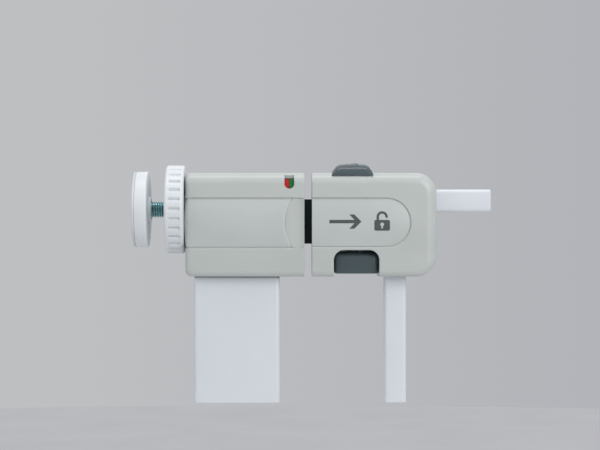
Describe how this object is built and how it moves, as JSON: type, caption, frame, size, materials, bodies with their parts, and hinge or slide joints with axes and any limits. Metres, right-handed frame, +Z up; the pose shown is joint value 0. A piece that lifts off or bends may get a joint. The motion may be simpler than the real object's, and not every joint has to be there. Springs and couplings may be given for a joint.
{
  "type": "stair gate latch",
  "caption": "Pressure-fit stair gate latch: wall pad, spindle and ribbed hand wheel, receiver housing with gap window, and sprung tongue housing with slider and trigger.",
  "frame": {"origin": "centre of the wall pad's wall face, on the spindle's axis", "axes": "+X away from the wall along the spindle, +Y from the front face to the rear, +Z up"},
  "size_m": [0.222, 0.055, 0.1486],
  "materials": {
    "white_plastic": "smooth moulded",
    "grip_rubber": "matt",
    "zinc_plate": "bright zinc plate",
    "steel": "plain",
    "shell_grey": "fine satin texture",
    "tube_white": "powder coat",
    "slate_plastic": "fine satin texture",
    "black_plastic": "satin",
    "guide_plastic": "satin",
    "dog_steel": "pressed",
    "clear_plastic": "clear, smooth",
    "red_plastic": "satin",
    "green_plastic": "satin"
  },
  "bodies": {
    "wall_and_gate": {"wall_pad": "white_plastic", "wall_pad_rubber": "grip_rubber", "spindle": "zinc_plate", "latch_front_shell": "shell_grey", "latch_rear_shell": "shell_grey", "latch_inlay": "shell_grey", "gate_end_post": "tube_white", "gate_top_rail": "tube_white", "latch_screw_1": "steel", "latch_screw_2": "steel", "latch_screw_3": "steel", "latch_screw_4": "steel", "bolt_spring": "steel", "slider_spring": "steel", "trigger_spring_front": "steel", "trigger_spring_rear": "steel"},
    "frame_side": {"frame_post": "tube_white", "spindle_guide": "guide_plastic", "thrust_washer": "steel", "receiver_front_shell": "shell_grey", "receiver_rear_shell": "shell_grey", "receiver_inlay": "shell_grey", "indicator_lens": "clear_plastic", "strike_liner": "black_plastic", "receiver_screw_1": "steel", "receiver_screw_2": "steel", "receiver_screw_3": "steel", "receiver_screw_4": "steel", "indicator_spring": "steel"},
    "hand_wheel": {"wheel": "white_plastic", "wheel_nut": "steel"},
    "indicator": {"indicator_carrier": "black_plastic", "indicator_red": "red_plastic", "indicator_green": "green_plastic"},
    "tongue": {"bolt": "black_plastic"},
    "dog": {"lift_dog": "dog_steel"},
    "thumb_slider": {"top_slider": "slate_plastic", "slider_carriage": "slate_plastic"},
    "finger_trigger": {"trigger": "slate_plastic"}
  },
  "joints": [
    {"name": "frame_slide", "type": "slide", "parent": "wall_and_gate", "child": "frame_side", "axis": [1, 0, 0], "range_m": [-0.0015, 0.003]},
    {"name": "wheel_turn", "type": "hinge", "parent": "frame_side", "child": "hand_wheel", "pos_m": [0.0256, 0, 0], "axis": [1, 0, 0], "range_deg": [-360, 720]},
    {"name": "indicator_slide", "type": "slide", "parent": "frame_side", "child": "indicator", "axis": [1, 0, 0], "range_m": [-0.003, 0.0015], "deforming": ["indicator_spring"]},
    {"name": "bolt_slide", "type": "slide", "parent": "wall_and_gate", "child": "tongue", "axis": [1, 0, 0], "range_m": [0, 0.012], "stiffness_N_per_m": 250, "springref_m": -0.012, "deforming": ["bolt_spring"]},
    {"name": "dog_lift", "type": "slide", "parent": "tongue", "child": "dog", "axis": [0, 0, 1], "range_m": [0, 0.0045]},
    {"name": "slider_slide", "type": "slide", "parent": "wall_and_gate", "child": "thumb_slider", "axis": [1, 0, 0], "range_m": [0, 0.012], "stiffness_N_per_m": 120, "springref_m": -0.012, "deforming": ["slider_spring"]},
    {"name": "trigger_lift", "type": "slide", "parent": "wall_and_gate", "child": "finger_trigger", "axis": [0, 0, 1], "range_m": [0, 0.0045], "stiffness_N_per_m": 500, "springref_m": -0.006, "deforming": ["trigger_spring_front", "trigger_spring_rear"]}
  ],
  "couplings": [
    {"joint": "wheel_turn", "follows": "frame_slide", "rad_per_m": 4188.8},
    {"joint": "indicator_slide", "follows": "frame_slide", "ratio": -1},
    {"joint": "dog_lift", "follows": "trigger_lift", "ratio": 1}
  ]
}
